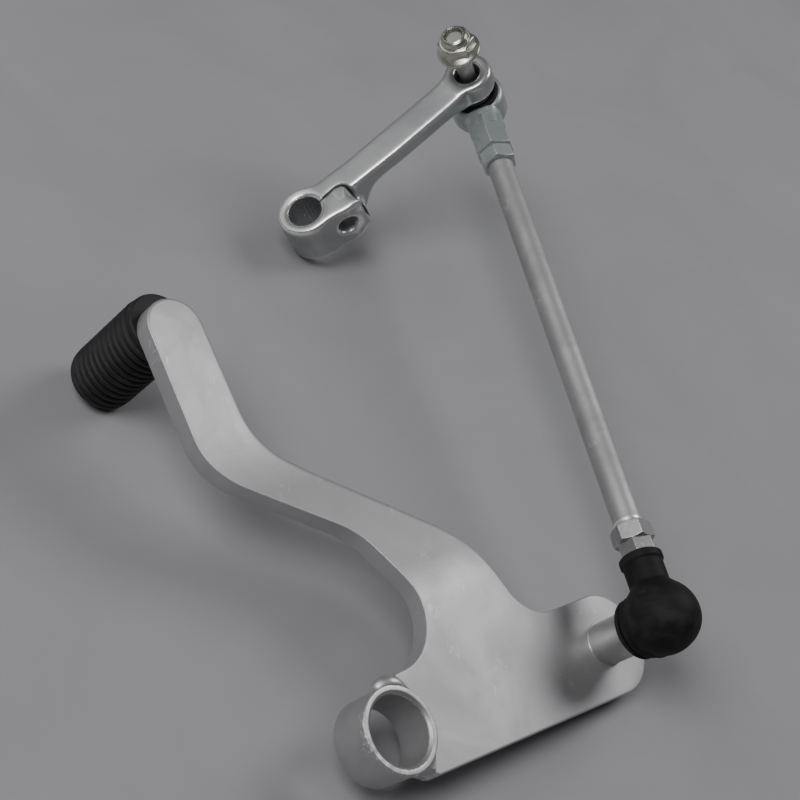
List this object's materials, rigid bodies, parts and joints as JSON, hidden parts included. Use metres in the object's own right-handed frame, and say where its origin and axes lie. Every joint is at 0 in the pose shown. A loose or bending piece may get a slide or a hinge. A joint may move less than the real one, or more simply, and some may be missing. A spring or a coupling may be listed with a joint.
{
  "type": "motorcycle gear shift lever",
  "caption": "Motorcycle gear shift linkage: cranked flat lever with pivot tube and ribbed rubber peg, ball-jointed tie rod with rubber boot, and splined clamp arm.",
  "frame": {"origin": "on the pivot tube's axis, in the flat front face of the lever plate, which carries the ball stud", "axes": "+Z along the pivot axis, out of that front face; +X in the face, from the pivot axis towards the foot peg; +Y away from the ball stud"},
  "size_m": [0.2029, 0.165, 0.0894],
  "materials": {
    "satin_alloy": "satin silver coat on steel",
    "bright_weld": "silver-coated weld",
    "plated_steel": "satin zinc plate",
    "yellow_zinc": "bright zinc plate",
    "zinc_head": "dull zinc plate",
    "black_rubber": "matt",
    "white_plastic": "matt"
  },
  "bodies": {
    "lever": {"lever_plate": "satin_alloy", "pivot_tube": "satin_alloy", "pivot_weld": "bright_weld", "peg_pin": "plated_steel", "peg_rubber": "black_rubber", "ball_stud": "satin_alloy"},
    "boot_swivel": {"boot_ring": "black_rubber"},
    "link": {"boot": "black_rubber", "lower_head": "plated_steel", "lower_liner": "white_plastic", "lower_cap": "plated_steel", "lower_lock_nut": "plated_steel", "tie_rod": "plated_steel", "upper_lock_nut": "zinc_head", "upper_head": "zinc_head", "upper_liner": "white_plastic", "upper_cap": "zinc_head", "upper_seal": "black_rubber"},
    "threaded_stud": {"upper_stud": "plated_steel", "flange_nut": "yellow_zinc"},
    "arm": {"shift_arm": "satin_alloy"}
  },
  "joints": [
    {"name": "lower_swing", "type": "hinge", "parent": "lever", "child": "boot_swivel", "pos_m": [-0.0013, -0.0804, 0.0216], "axis": [0, 0, 1], "range_deg": [-50, 20]},
    {"name": "lower_tilt", "type": "hinge", "parent": "boot_swivel", "child": "link", "pos_m": [-0.0013, -0.0804, 0.0216], "axis": [0.3453, 0.9385, 0], "range_deg": [-18, 6]},
    {"name": "upper_tilt", "type": "hinge", "parent": "link", "child": "threaded_stud", "pos_m": [0.1713, -0.1439, -0.00621], "axis": [0.9279, -0.3414, -0.1495], "range_deg": [-10, 10]},
    {"name": "arm_swing", "type": "hinge", "parent": "threaded_stud", "child": "arm", "pos_m": [0.1713, -0.1439, -0.00621], "axis": [0.3585, 0.7078, 0.6087], "range_deg": [-30, 30]}
  ]
}
